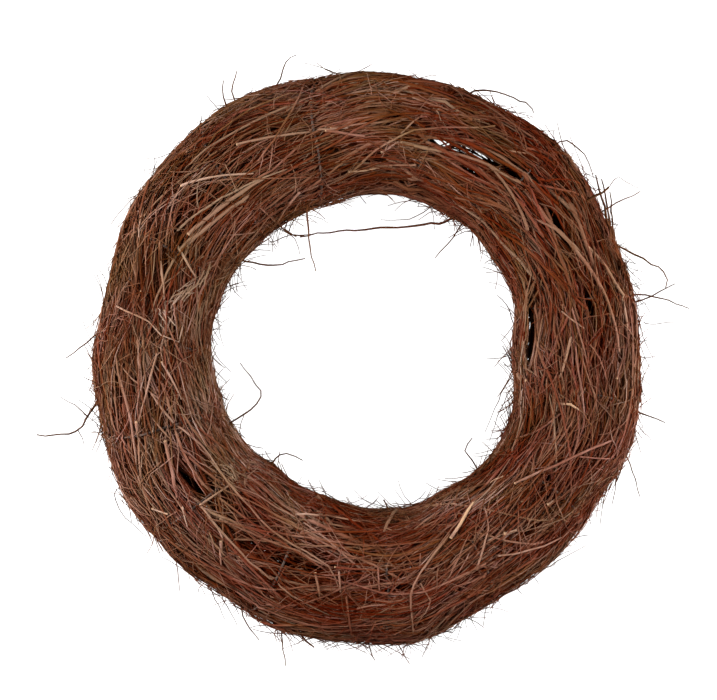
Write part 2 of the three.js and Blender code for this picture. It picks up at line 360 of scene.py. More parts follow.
packed = dict(
    handfuls=860, perHandful=(9, 18), length=(55, 150), ownLength=(0.5, 1.15), step=12,
    width=(0.5, 1.1), depth=(0.8, 9.5), highest=0.7, slant=8.5, ownSlant=3.5, spreadAlong=5,
    spreadAround=10, spreadDepth=1.3, straight=(0, 0.4), sink=((0, 4), (0, 4)), zigzag=3.5, waver=0.4,
    tone=(0.12, 0.5), ownTone=0.16, weathered=0.25, ownWeathered=0.2, ruddy=0.34, over=0.35,
    # some smaller handfuls arch out of the surface, but none so near the edges that are seen from above
    proudShare=0.09, proudDepth=(-1.0, 0.5), proudRise=0.5, proudSink=((2, 8), (2, 8)),
    proudCount=4, edge=30,
)


def layPacked(its):
    for handful in range(its["handfuls"]):
        angle = wholeRing[1] - 360 * (handful + draw((0, 1))) / its["handfuls"]
        around = draw(wholeSection)
        slant = leanAt(angle, around) + scatter(its["slant"])
        depth = drawLow(its["depth"], power=1.25)
        tone = draw(its["tone"])
        weathered = scatter(its["weathered"])
        ruddy = scatter(its["ruddy"])
        coarse = ringAt("coarseness", angle)
        length = draw(its["length"])
        atEdge = abs((around + 90) % 180 - 90) < its["edge"]
        proud = chance(its["proudShare"]) and not atEdge
        highest, sink = its["highest"], its["sink"]
        count = rng.integers(*its["perHandful"])
        if proud:
            depth = draw(its["proudDepth"])
            highest, sink = depth - its["proudRise"], its["proudSink"]
            count = count // its["proudCount"]
        for _ in range(count):
            own = length * draw(its["ownLength"])
            start = (angle + scatter(its["spreadAlong"]) + halfSpan(own),
                     around + scatter(its["spreadAround"]), max(highest, depth + scatter(its["spreadDepth"])))
            spots = layPath(start, own, its["step"], slant + scatter(its["ownSlant"]), wander=2,
                            straight=draw(its["straight"]), sink=drawEach(sink), zigzag=its["zigzag"])
            spots[:, 2] += scatter(its["waver"], len(spots))
            keep(hair, spots, draw(its["width"]) * coarse / 2, tone + scatter(its["ownTone"]), taper=0.35,
                 weathered=max(0, weathered + scatter(its["ownWeathered"])), ruddy=ruddy,
                 over=chance(its["over"]))


dressing = dict(
    groups=270, perGroup=(1, 4), length=(40, 140), step=8.5, width=(1.0, 1.9), depth=(0.1, 3.0),
    slant=13, ownSlant=4, spreadAlong=4, spreadAround=6, straight=(0.1, 1), zigzag=4.5,
    sink=((1, 7), (-1.5, 4)), tone=(0.26, 0.6), weathered=(0.2, 0.4), over=0.6,
    paleEnds=0.13, branchWidth=1.4,
    shoots=(0, 3), shootLength=(12, 40), shootStep=6, shootSlant=(20, 50), shootSink=(-2.5, 1),
    shootWidth=0.3,
)


def layDressing(its):
    for _ in range(its["groups"]):
        angle = draw(wholeRing)
        around = draw(wholeSection)
        groupSlant = leanAt(angle, around) + scatter(its["slant"])
        straight = draw(its["straight"])
        for _ in range(rng.integers(*its["perGroup"])):
            length = draw(its["length"])
            start = (angle + scatter(its["spreadAlong"]) + halfSpan(length),
                     around + scatter(its["spreadAround"]), draw(its["depth"]))
            slant = groupSlant + scatter(its["ownSlant"])
            spots = layPath(start, length, its["step"], slant, wander=2.2, straight=straight,
                            sink=drawEach(its["sink"]), zigzag=its["zigzag"])
            width = draw(its["width"]) * ringAt("coarseness", angle)
            tone = draw(its["tone"])
            weathered = max(0, rng.normal(*its["weathered"]))
            over = chance(its["over"])
            if chance(0.5):
                spots = spots[::-1]
            kind = branch if width > its["branchWidth"] else twig
            keep(kind, spots, width / 2, tone, taper=0.45, weathered=weathered,
                 paleEnd=chance(its["paleEnds"]), over=over)
            for _ in range(rng.integers(*its["shoots"])):
                at = rng.integers(1, len(spots) - 1)
                lean = draw(its["shootSlant"]) * rng.choice([-1, 1])
                side = layPath(spots[at], draw(its["shootLength"]), its["shootStep"], slant + lean, wander=5,
                               sink=(0, draw(its["shootSink"])), zigzag=7)
                keep(hair, side, width * its["shootWidth"], tone, taper=0.5, weathered=weathered, over=over)


stoutBranches = dict(
    count=26, length=(70, 150), step=8, width=(2.3, 3.1), depth=(1.6, 4.5), slant=10,
    straight=(0, 0.8), sink=((2, 8), (0, 7)), tone=(0.36, 0.6), weathered=(0.2, 0.9),
    over=0.1,
)


def layStout(its):
    for _ in range(its["count"]):
        length = draw(its["length"])
        angle = draw(wholeRing)
        around = draw(wholeSection)
        start = (angle + halfSpan(length), around, draw(its["depth"]))
        slant = leanAt(angle, around) + scatter(its["slant"])
        spots = layPath(start, length, its["step"], slant, wander=1.2, straight=draw(its["straight"]),
                        sink=drawEach(its["sink"]), zigzag=2)
        keep(stout, spots, draw(its["width"]) / 2, draw(its["tone"]), taper=0.3,
             weathered=draw(its["weathered"]), paleEnd=True, over=chance(its["over"]))


loose = dict(count=2300, length=(9, 50), step=5.5, width=(0.4, 0.85), depth=(-0.6, 2.2), slant=32,
             around=(0, 360), tone=(0.24, 0.62), over=0.8)
topBits = dict(count=1000, length=(6, 26), step=5.5, width=(0.4, 0.75), depth=(-0.8, 0.8), slant=55,
               around=(0, 180), tone=(0.3, 0.66), over=0.9)


def layLoose(its):
    for _ in range(its["count"]):
        length = draw(its["length"])
        start = (draw(wholeRing), draw(its["around"]), draw(its["depth"]))
        spots = layPath(start, length, its["step"], scatter(its["slant"]) + rng.choice([0, 180]), wander=8,
                        sink=drawEach(((0, 3), (-2, 2))), zigzag=8)
        keep(hair, spots, draw(its["width"]) / 2, draw(its["tone"]), taper=0.5, weathered=max(0, scatter(0.3)),
             over=chance(its["over"]))


fringe = dict(
    count=520, length=(9, 34), step=4.5, width=(0.5, 0.85), rise=(0.5, 13), slant=28,
    wander=13, curl=(1, 2.4), clear=0.6, tone=(-0.15, 0.26), weathered=0.15, ruddy=-0.8,
    atSides=0.75, spreadAround=20, rootDepth=1.6, shortOnTop=0.4, tuftShare=0.5, tuftLength=1.2,
    # where hairs stand closer: angles from and to, side, count, length, rise, slant, wander
    tufts=[
        (-22, 8, 0, 70, (7, 18), (2, 8), 35, 14),
        (3, 13, 0, 40, (6, 14), (2, 8), 50, 30),
        (15, 44, 0, 130, (8, 20), (2, 11), 35, 20),
        (44, 66, 0, 50, (6, 16), (2, 8), 35, 13),
        (84, 128, 0, 80, (6, 16), (1.5, 6), 30, 12),
        (140, 178, 0, 40, (6, 14), (1.5, 5), 35, 12),
        (178, 190, 0, 40, (6, 14), (2, 8), 50, 14),
        (188, 203, 0, 70, (8, 18), (2, 12), 45, 15),
        (200, 226, 0, 60, (9, 22), (1, 6), 12, 7),
        (234, 250, 0, 40, (6, 16), (1.5, 7), 50, 17),
        (250, 293, 0, 240, (6, 20), (2, 12), 45, 20),
        (293, 338, 0, 100, (6, 16), (1.5, 8), 45, 17),
        (50, 70, 180, 90, (8, 22), (3, 15), 30, 12),
        (30, 50, 180, 30, (6, 16), (1.5, 8), 35, 12),
        (108, 145, 180, 60, (7, 20), (2, 12), 32, 12),
        (145, 176, 180, 80, (6, 16), (2, 9), 35, 12),
        (176, 240, 180, 80, (5, 16), (1.5, 8), 40, 12),
        (250, 292, 180, 60, (5, 15), (1.5, 7), 40, 12),
        (306, 322, 180, 30, (6, 16), (2, 9), 35, 12),
        (322, 360, 180, 150, (6, 20), (2, 12), 32, 12),
    ],
)


def layHair(angle, around, length, rise, slant, wander):
    spots = layPath((angle, around, fringe["rootDepth"]), length, fringe["step"],
                    scatter(slant) + rng.choice([0, 180]), wander)
    share = np.linspace(0, 1, len(spots))
    spots[:, 2] -= rise * share ** draw(fringe["curl"]) + fringe["clear"]
    keep(hair, spots, draw(fringe["width"]) / 2, draw(fringe["tone"]), taper=0.4,
         weathered=fringe["weathered"], ruddy=fringe["ruddy"], over=True)


def layFringe(its):
    for _ in range(its["count"]):
        atSide = chance(its["atSides"])
        around = rng.choice([0, 180]) + scatter(its["spreadAround"]) if atSide else draw((0, 180))
        rise = draw(its["rise"]) * (1 if atSide else its["shortOnTop"])
        layHair(draw(wholeRing), around, draw(its["length"]), rise, its["slant"], its["wander"])
    for low, high, side, count, length, rise, slant, wander in its["tufts"]:
        for _ in range(round(its["tuftShare"] * count)):
            layHair(draw((low, high)), side + scatter(its["spreadAround"]), its["tuftLength"] * draw(length),
                    draw(rise), slant, wander)


# Twigs that show one by one on top: width, tone, weathering, paleness, depth, then x, y of points on them
seenTwigs = [
    # Top left
    [2.2, 0.8, 0.9, 0, 0.4, -79, 130, -51, 135, -22, 139, -12, 140],
    [3.5, 0.7, 1, 0, 0.7, -108, 75, -83, 96, -61, 110],
    [3.4, 0.68, 1, 0, 0.9, -109, 68, -95, 80, -71, 99],
    [1.8, 0.82, 0.3, 0.1, 0.1, -110, 127, -107.5, 132.5],
    [1.5, 0.7, 0, 0, 0.2, -137, 92, -139.5, 74],
    [1.4, 0.68, 0, 0, 0.3, -140, 90, -143.5, 72],
    [2, 0.68, 0, 0, 0.2, -137, 41, -141, 32],
    [2.1, 0.82, 0.7, 0.1, 0.3, -113, 105, -92, 110, -69, 112],
    [1.5, 0.66, 0, 0, -0.2, -65, 120, -52, 139, -42, 159, -37, 172],
    [1.9, 0.66, 0.1, 0, 0.6, -70, 106, -52, 119, -39, 131],
    [1.9, 0.8, 0.7, 0, 0.3, -115, 69, -102, 46],
    [1.9, 0.78, 0.8, 0.1, 0.4, -125, 59, -123, 44, -121.5, 30.5],
    [2.2, 0.9, 0.4, 0.6, -0.3, -122.2, 29.3, -121, 23.2],
    [1.4, 0.8, 0.5, 0.1, 0.2, -127, 32, -128.6, 22.6],
    [1.7, 0.85, 0.4, 0.3, -0.2, -118.6, 23.2, -122, 16.5],
    [1.4, 0.78, 0.5, 0.1, 0.1, -119.2, 28, -112, 32.3],
    [1.2, 0.74, 0.3, 0, 0.3, -121, 27, -115.5, 21],
    [1.6, 0.6, 0.3, 0, 0.8, -122, 69, -118, 90, -113, 105],
    [1.3, 0.66, 0.1, 0, 0.3, -68, 94, -51, 80, -44, 76],
    [1.6, 0.7, 0.2, 0, 0.2, -85, 74, -66, 77],
    [1.5, 0.62, 0.1, 0, 0.6, -48, 97, -34, 110],
    # Top
    [1.7, 0.66, 0.5, 0, 1, -32, 148, -22, 157, -6, 163, 8, 164, 27, 160, 45, 153, 69, 146],
    [1.2, 0.62, 0.3, 0, 0.9, -30, 146.5, -12, 157.5, 6, 161.6, 24, 158.6, 46, 152.5],
    [1.1, 0.58, 0.2, 0, 1.1, -27, 146, -10, 156, 8, 159.5, 26, 157.5, 44, 151],
    [1.8, 0.6, 0.3, 0, 1.2, -18, 145, -4, 153, 12, 156, 27, 156],
    [1.3, 0.57, 0.5, 0, 1.2, -24, 145, -8, 151.5, 10, 154.5, 24, 154, 40, 150],
    [1.2, 0.54, 0.1, 0, 1.2, -33, 141, -12, 148, 10, 150.8, 30, 149],
    [1.6, 0.62, 0.2, 0, 0.7, -34, 139, -12, 144.6, 16, 147.6],
    [1.9, 0.66, 0.4, 0, 1, -22, 140, 14, 144],
    [2.3, 0.74, 0.1, 0, 0.1, -25, 138.5, -1, 134.5],
    [1.9, 0.74, 0.3, 0, 0.2, 9, 124.3, 19.7, 131.3],
    [2, 0.8, 0.9, 0.25, 0.4, -11, 113, 8, 115],
    [1.9, 0.62, 0.3, 0, 1, -39, 101, -22, 113, 0, 129, 19, 131],
    [1.7, 0.72, 0.2, 0, 0.2, -10, 112, 6, 126, 22, 135, 39, 139, 78, 142],
    [1.3, 0.76, 0.4, 0, 0, 22, 137, 34, 148],
    [2, 0.76, 0.5, 0.2, 1.2, 82, 128, 99, 125],
    [1.8, 0.6, 0.2, 0, 1.2, -46, 97, -28, 109],
    [1.9, 0.56, 0.4, 0, 1.2, 38, 113, 56, 106, 69, 94, 75, 82],
    # Right
    [2.6, 0.72, 0.8, 0, 0.8, 21, 131, 49, 125, 68, 120, 87, 109, 96, 105],
    [2, 0.68, 0.1, 0, 0.6, 98, 108, 118, 102, 138, 96],
    [2.9, 0.68, 0.5, 0, 0.8, 96, 102, 109, 86, 123, 70, 138, 49, 150, 27, 155, 5],
    [3.1, 0.66, 0.9, 0, 1.2, 134, 67, 147, 54, 157, 37, 161, 15],
    [2.3, 0.74, 0.7, 0, 0.3, 101, 85, 115, 78, 131, 63],
    [1.9, 0.6, 0.5, 0, 0.9, 90, 103, 99, 83, 106, 62],
    [2.5, 0.6, 0.3, 0, 1.2, 66, 87, 90, 68, 109, 40],
    [1.7, 0.56, 0.1, 0, 1.3, 102, 61, 112, 43],
    [1.8, 0.76, 0.5, 0.15, 0.4, 124, 12, 120, -7, 116, -14],
    [1.3, 0.8, 0.5, 0.1, -0.2, 119, 28, 132, 18],
    [1.6, 0.62, 0.3, 0, 0.9, 133, 11, 142, 0, 148, -17],
    [1.7, 0.6, 0.5, 0, 0.8, 131, 10, 131, -2, 137, -19, 140, -31],
    [2, 0.84, 0.6, 0.55, 0, 113, -27, 124, -28, 132, -33],
    [1.9, 0.7, 0.1, 0, 0.2, 93, -48, 106, -42, 117, -34],
    # Left
    [1.5, 0.78, 0.6, 0.1, 0, -154, 32, -131, 22, -124, 14, -115, 10, -111, 26],
    [1.9, 0.74, 0.6, 0, 0.4, -124, -2, -112, -25],
    [1.6, 0.66, 0.3, 0, 0.8, -139, 13, -137, -10, -137, -28],
    [2, 0.72, 0.4, 0, 0.7, -154, 5, -148, -17, -143, -41, -141, -59, -139, -74, -125, -93],
    [1.6, 0.68, 0.2, 0, 0.3, -127, 2, -134, -22, -139, -41],
    [1.7, 0.7, 0.5, 0, 0.5, -130, -22, -118, -38, -100, -53, -83, -77],
    [2.9, 0.62, 0.1, 0, 1.2, -122, -50, -119, -63, -115, -84],
    [1.9, 0.88, 0.5, 0.6, -0.5, -132, -92.5, -122, -96],
    [1.9, 0.74, 0.7, 0, 0.3, -101, -89, -83, -77],
    [2.3, 0.64, 0.3, 0, 0.8, -100, -90, -83, -98, -61, -109],
    [1.6, 0.84, 0.4, 0.2, 0, -111.5, -91, -109, -102.5],
    [2.2, 0.82, 0.2, 0.1, 0.1, -89.5, -103, -87, -108.5],
    [2, 0.74, 0.1, 0.1, 0.1, -88, -110.5, -88.5, -126.5],
    [1.5, 0.7, 0, 0, 0.3, -94, -108, -91.5, -121],
    [1.6, 0.78, 0.4, 0.1, 0, -16.5, -130, -15.5, -142.5],
    # Bottom
    [2, 0.68, 0.6, 0, 0.6, -89, -97, -68, -107, -49, -114, -34, -121, -21, -127],
    [1.7, 0.72, 0.5, 0.05, 0.3, -93.5, -63, -82, -77, -71, -90, -58, -104, -44, -114, -23, -126, -16, -142],
    [1.8, 0.62, 0.3, 0, 0.8, -89, -132, -73, -137, -55, -140, -21, -138],
    [1.7, 0.78, 0.4, 0.2, 0.5, -45, -95, -22, -97, -4, -99],
    [2.6, 0.56, 0.9, 0, -0.6, 19, -86, 17, -95, 11, -104],
    [1.8, 0.6, 0.7, 0, -0.2, 17, -93, 18, -104],
    [1.6, 0.62, 0.2, 0, 0, -12, -146, -9, -171],
    [2, 0.68, 0.5, 0, 0, -31, -130, -28, -147],
    [1.9, 0.72, 0.4, 0, 0.5, 29, -104, 46, -93],
    [1.4, 0.64, 0.3, 0, 0.2, 7, -127, 8, -141],
    [1.7, 0.64, 0.2, 0, 0.6, -32, -110, -4, -114, 21, -113, 48, -109],
    [1.6, 0.74, 0.5, 0, 0.4, -9, -154, 3, -150, 14, -150],
    [1.9, 0.56, 0.1, 0, 0.9, -77, -120, -65, -132, -49, -147],
    [1.8, 0.66, 0.2, 0, 0.7, 36, -165, 45, -154, 57, -146],
    [2.5, 0.9, 0.3, 0.8, -0.2, 51, -109, 57.5, -101, 62, -92.5, 68, -83],
    [1.7, 0.86, 0.5, 0.4, 0, 73, -76, 85, -70],
    [2.2, 0.7, 0.2, 0, 0, 90, -76, 130, -58, 149, -50],
    [1.3, 0.66, 0.1, 0, 0.1, 130, -60, 152, -61],
    [3.2, 0.72, 1, 0.12, 0.2, 83.7, -106.8, 91.6, -104.3],
    [1.5, 0.82, 0.4, 0.25, 0.2, 74.6, -110.4, 82.5, -106.8],
    [2.4, 0.76, 0.9, 0.05, 0.4, 110, -89, 118, -84],
    [1.6, 0.74, 0.4, 0, 0.3, 81, -120, 115, -113, 127, -107],
    [1.7, 0.7, 0.5, 0, -0.3, 50, -107, 33, -130, 27, -144, 29, -169],
    [1.3, 0.72, 0.6, 0, -0.2, 33, -137, 39, -147, 36, -155, 30, -160],
    [1.5, 0.68, 0.2, 0, 0.4, 28, -105, 53, -95],
    [1.6, 0.72, 0.2, 0, 0.1, 67, -128, 74, -103, 71, -88],
    [1.3, 0.64, 0.1, 0, 0.3, 50, -134, 62, -107],
]

seenLook = dict(step=8, endDip=1.2, waver=0.4, radius=0.42, darker=0.1, weathered=0.8, stoutWidth=2.5,
                brokenWidth=1.8)


def smoothLine(numbers, axes, step):  # points on a smooth line through a few given ones, about so far apart
    points = np.reshape(numbers, (-1, axes)).astype(float)
    padded = np.concatenate([2 * points[:1] - points[1:2], points, 2 * points[-1:] - points[-2:-1]])
    out = []
    for a, b, c, d in zip(padded, padded[1:], padded[2:], padded[3:]):
        count = max(1, round(float(np.linalg.norm(c - b)) / step))
        out += [curve(a, b, c, d, t) for t in np.arange(count) / count]
    return np.array(out + [points[-1]])


def unwound(spots):
    spots = np.array(spots)
    spots[:, 0] = np.unwrap(spots[:, 0], period=360)
    return spots


def laySeen(rows, its):
    for width, tone, weathered, pale, depth, *line in rows:
        spots = unwound([onTop(x, y, depth) for x, y in smoothLine(line, 2, its["step"])])
        share = np.linspace(-1, 1, len(spots))
        spots[:, 2] += its["endDip"] * share**4
        spots[1:-1, 1] += scatter(its["waver"], len(spots) - 2)
        kind = stout if width > its["stoutWidth"] else branch
        keep(kind, spots, width * its["radius"], tone - its["darker"], taper=0.3, over=True, crosses=True,
             weathered=weathered * its["weathered"], pale=pale, paleEnd=width > its["brokenWidth"])


# Shreds of old bark and bast: count, width, length, spread, tone, weathering, from and to as seen from above
shreds = [
    [34, 1.05, (4, 13), 1.2, 0.7, 1, [-119, 33], [-101.5, 47.5]],
    [10, 0.9, (6, 12), 1, 0.55, 0.8, [-101, 48], [-96, 56]],
    [14, 0.9, (3, 9), 1.6, 0.64, 0.9, [-86.5, -66], [-78, -73.5]],
    [10, 0.8, (4, 10), 3.5, 0.56, 0.6, [-84, -62], [-75, -78]],
    [8, 0.9, (3, 8), 2.6, 0.76, 0.6, [-124, 30], [-118, 20]],
    [9, 0.8, (4, 12), 3.4, 0.55, 0.3, [-97, -110], [-88, -118]],
]

shredLook = dict(ownWay=0.25, depth=(-1.1, 0.5), bends=(-1, -0.3, 0.4, 1), endDip=0.8, waver=0.25,
                 width=(0.6, 1.2), tone=0.09, ruddy=-0.8)


def layShreds(rows, its):
    for count, width, length, spread, tone, weathered, first, last in rows:
        first, last = np.array(first, float), np.array(last, float)
        way = math.atan2(last[1] - first[1], last[0] - first[0])
        for _ in range(count):
            middle = first + (last - first) * rng.uniform() + scatter(spread, 2)
            own = way + scatter(its["ownWay"])
            half = draw(length) / 2
            depth = draw(its["depth"])
            spots = []
            for at in its["bends"]:
                x, y = middle + half * at * np.array([math.cos(own), math.sin(own)]) + scatter(its["waver"], 2)
                spots.append(onTop(x, y, depth + its["endDip"] * at * at))
            keep(hair, unwound(spots), width / 2 * draw(its["width"]), tone + scatter(its["tone"]), taper=0.5,
                 weathered=weathered, ruddy=its["ruddy"], over=True, crosses=True)


# Loose ends that stand out of the ring: width, then x, y, z of points from the root outwards
strays = [
    [2, -152, -16, 34, -168.8, -29.3, 33, -181.3, -46.1, 31, -206, -48, 29],
    [1.5, -155, 24, 40, -169, 12.5, 42, -185.5, 0, 44],
    [1.4, -84, 146, 44, -87.8, 160.7, 47, -87.8, 171, 49],
    [1.4, -77, 152, 40, -83, 165, 42, -79.7, 178, 44],
    [1.4, -60.5, 157, 36, -53.6, 174, 36, -50, 184, 37, -43, 188.5, 37],
    [1.6, 56, 158, 36, 72, 166.5, 38, 99, 158, 39, 104, 152, 39],
    [1.3, 112, 128, 46, 123, 134, 49, 134, 125, 50, 140, 111, 49],
    [2.8, 122, 86, 52, 139.6, 99, 52, 149, 105, 53],
    [1.4, 136, 84, 44, 150, 93, 46, 169, 102.8, 48],
    [1.8, 138, 72, 36, 157, 69.5, 37, 185, 53.6, 38, 186, 43.6, 38],
    [1.6, 150, 30, 42, 171, 36, 43, 191, 46, 44],
    [1.4, 152, 40, 30, 180, 38.5, 28, 202.5, 31, 26],
    [1.4, 158, -30, 40, 174, -35.5, 42, 185, -40, 43],
    [1.3, 150, -45, 30, 163, -62, 30, 171, -86.6, 31],
    [1.3, 12, -158, 38, 19, -177, 40, 27, -189.5, 41],
    [1.3, -4, -160, 30, 1, -177, 29, 5.6, -189.4, 28],
    [2.4, -48, -155, 40, -41, -171, 42, -32, -179, 43],
    [1.4, -50, -152, 34, -52, -172, 34, -50, -192, 35],
    [1.4, -80, -146, 44, -74, -163, 45, -66, -174, 46],
    [1.5, -36.5, 112, 48, -35.5, 74, 47, -31, 53.6, 45],
    [2, 62, 96, 42, 48, 84.5, 41, 0, 80, 40, -30, 77, 40, -41, 75, 41],
    [1.3, 64, 90, 34, 57, 79, 33, 43, 62.3, 32],
    [1.4, 76, -82, 34, 69, -68.5, 34, 61.5, -57.3, 35, 66, -49.8, 36],
    [1.8, 16, -108, 36, 15, -95.5, 36, 11, -88, 37],
    [1.5, -66, -80, 38, -54, -60.5, 38, -39.3, -63.5, 39],
    [1.4, -96, -44, 36, -81.6, -38.6, 37, -65, -24.3, 40, -78, -3, 42],
    [1.6, -90, 68, 36, -75, 60.5, 35, -56.7, 57.9, 35, -38, 62, 35],
]


fineStrays = [
    [2.4, 152, 66, 44, 149, 85, 46, 141.5, 113, 47],
    [1.8, 153, 74, 42, 149, 92, 43, 145.5, 111, 43],
    [1.6, 154, 72, 40, 152.5, 86, 41, 151, 103, 41],
    [1.3, -51, 80, 44, -45, 76, 44, -36, 75.5, 43],
    [1.8, -70, 100, 50, -62, 93, 50, -52, 80, 48, -43, 75, 46],
    [0.9, -174, -36, 33, -185, -27, 34, -191, -24, 34],
    [0.8, -180, -45, 31, -177, -50, 31, -176, -55, 30],
    [0.8, -88, 150, 40, -93, 156, 42, -99, 163, 43],
    [0.6, 168, 32, 36, 173, 34, 37, 176, 29, 37, 172, 24, 38, 175, 18, 38],
    [0.6, 166, 44, 40, 172, 46, 41, 176, 42, 42, 171, 38, 42, 167, 41, 43],
    [0.6, 165, 52, 36, 170, 56, 37, 173, 50, 37],
    [0.9, 168, 2, 34, 174, 0, 35, 180, 1, 35],
    [0.7, 149, 105, 53, 155, 112, 53, 160, 108, 52, 168, 104, 51],
    [0.7, -88, 60, 36, -80, 52, 36, -74, 42, 36],
    [0.7, -90, 54, 38, -84, 44, 38, -76, 36, 37],
    [0.7, -96, 28, 36, -90, 22, 36, -85, 25, 36],
    [0.8, 45, 98, 38, 36, 90, 37, 22, 86, 37, 9, 86, 37],
    [0.8, 92, -8, 38, 84, -22, 38, 74, -46, 36],
    [0.7, 90, -20, 34, 82, -36, 34, 77, -52, 33],
    [0.7, 90, 2, 36, 84, 1, 36, 74, 0, 35],
    [0.8, -60, 72, 38, -48, 76, 40, -34, 77, 40],
    [0.8, -56, 82, 42, -44, 74, 43, -41, 64, 43],
    [0.8, -150, -80, 40, -157, -84, 40, -149, -99, 40, -136, -111, 38],
    [0.7, 172, 22, 40, 180, 21, 40, 192, 22, 40],
    [0.7, 166, -40, 38, 172, -46, 38, 178, -52, 38],
    [0.8, -99, -140, 34, -92, -155, 34, -88, -163, 34],
    [0.8, -90, -146, 38, -84, -159, 38, -80, -166, 38],
    [0.7, 62, -150, 38, 66, -163, 38, 70, -172, 38],
    [0.7, 40, -160, 36, 50, -173, 36, 60, -176, 36],
    [0.7, 36, -100, 36, 24, -86, 36, 20, -76, 36],
    [0.7, -52, -92, 36, -44, -80, 36, -40, -74, 36],
    [0.7, -12, -100, 36, 2, -92, 36, 8, -86, 36],
    [2.4, -119, 124.5, 38, -107.5, 138.6, 37, -93, 146, 38],
]

strayLook = dict(step=5, waver=0.35, radius=0.41, weathered=0.1, ruddy=-0.9)


def layStrays(rows, its, tone):
    for width, *line in rows:
        points = smoothLine(line, 3, its["step"])
        points[1:-1] += scatter(its["waver"], (len(points) - 2, 3))
        keep(twig, points, width * its["radius"], draw(tone), taper=0.5, weathered=its["weathered"],
             ruddy=its["ruddy"], inSpace=True)


def insertRows(rows, keys):  # a key of 4.3 is a new row between rows 4 and 5, three tenths of the way
    base = np.floor(keys).astype(int)
    mix = (keys - base)[:, None]
    order = np.argsort(np.concatenate([np.arange(len(rows["chain"])), keys]), kind="stable")
    out = {}
    for name, column in rows.items():
        if column.dtype in (bool, int):
            out[name] = np.concatenate([column, column[base]])[order]
        else:
            flat = column.reshape(len(column), -1)
            between = flat[base] * (1 - mix) + flat[base + 1] * mix
            out[name] = np.concatenate([flat, between])[order].reshape(-1, *column.shape[1:])
    return out, order >= len(rows["chain"])


def pressUnderWire(rows):
    # Adds a spot wherever a twig crosses the wire, and lets it pass clear under it, or over it.
    nearEnd = 0.15
    spots, same = rows["spots"], rows["chain"][1:] == rows["chain"][:-1]
    extraAt, crossingRows = [], []
    phase = (90 - spots[:, 1]) / 360
    for turn in range(-3, turnCount + 3):
        away = spots[:, 0] - wireAngle(turn + phase)
        hit = np.flatnonzero((away[1:] * away[:-1] < 0) & same & ~rows["inSpace"][1:])
        share = away[hit] / (away[hit] - away[hit + 1])
        crossingRows += [hit[share < nearEnd], hit[share > 1 - nearEnd] + 1]
        between = (share >= nearEnd) & (share <= 1 - nearEnd)
        extraAt.append(hit[between] + share[between])
    crossing = np.zeros(len(spots), bool)
    crossing[np.concatenate(crossingRows)] = True
    out, added = insertRows({**rows, "crossing": crossing}, np.concatenate(extraAt))
    crossing = out.pop("crossing") & ~added | added
    apart = wire["diameter"] / 2 + wire["clearance"] + out["radius"]
    angle, around, depth = out["spots"].T
    offBare = [np.abs(np.mod(angle - wire["crests"][turn] + 180, 360) - 180) for turn in wire["bare"]]
    nearBare = (np.min(offBare, axis=0) < wire["bareReach"]) & (np.sin(np.radians(around)) > 0.3)
    above = crossing & out["over"] & ~(nearBare & (rng.uniform(size=len(angle)) < wire["bareShare"]))
    under = crossing & ~above
    depth[under] = np.maximum(depth, wire["depth"] + apart + wire["groove"] * nearBare)[under]
    depth[above] = np.minimum(depth, wire["depth"] - apart)[above]
    return out


# Slits that go right through and hollows in the upper side: the twigs part round them, along the line that
# someone right above looks down. In a row: angle and radius of the middle, half length in degrees, half width,
# drift of radius per degree, lowest height (under 0 right through), share of the twigs that cross it
partings = dict(
    eyeHeight=1275, topHeight=65, reach=6, fade=2,  # reach and fade in half widths
    rows=[
        (65, 139.9, 11, 2.1, -0.22, -1, 0.12),
        (61.5, 130.8, 4.5, 1.35, 0, -1, 0.1),
        (8, 101.5, 13, 1.75, 0.3, -1, 0.12),
        (-149, 130.8, 3.4, 2.3, 0, -1, 0.03),
        (-85.3, 141.4, 2.5, 0.9, 0, -1, 0.1),
        (55, 145, 14, 4.3, -0.25, 42, 0.1),
        (10, 103, 14, 2.8, 0.3, 48, 0.25),
        (-145.5, 131, 7.5, 2.6, -0.3, 42, 0.2),
        (-80, 141, 7, 1.8, 0, 50, 0.25),
        (-111, 132, 15, 3.0, 0, 55, 0.4),
        (34, 142.5, 6.5, 3.2, 0.3, 50, 0.3),
        (12.8, 141, 8, 3.0, -0.3, 49, 0.3),
        (33, 122.5, 6, 1.8, 0.2, 50, 0.25),
        (90, 147.7, 10, 1.6, -0.06, 52, 0.25),
        (84, 120.4, 5, 1.5, 0.1, 52, 0.25),
    ],
)


def partTwigs(points, rows, its):
    chain, radius = rows["chain"], rows["radius"]
    for angle, out, halfLength, halfWidth, drift, lowest, crossers in its["rows"]:
        crosses = (rng.uniform(size=chain.max() + 1) < crossers)[chain] | rows["crosses"]
        at = np.degrees(np.arctan2(points[:, 1], points[:, 0])) - angle
        at = (at + 180) % 360 - 180
        shrink = (its["eyeHeight"] - its["topHeight"]) / (its["eyeHeight"] - points[:, 2])
        reach = np.hypot(points[:, 0], points[:, 1]) * shrink
        off = reach - out - drift * at
        gap = np.clip(1 - (at / halfLength) ** 2, 0, None) * halfWidth
        crosses |= (lowest > 0) & (rows["kind"] >= branch)  # a hollow has thick ones across it
        gap = np.where((points[:, 2] > lowest) & ~crosses, gap, 0)
        inside = gap > 0
        weight = np.bincount(chain, np.where(inside, off, 0), chain.max() + 1)
        side = np.where(weight[chain] >= 0, 1, -1)
        beyond = np.clip(side * off, 0, None)
        kept = side * np.sqrt(beyond**2 + (gap + radius) ** 2)
        farthest = its["reach"] * halfWidth
        moved = np.where(inside & (beyond < farthest), kept - off, 0)
        fade = np.clip((farthest - beyond) / (its["fade"] * halfWidth), 0, 1)
        points[:, :2] *= (1 + moved * fade / reach)[:, None]
    return points


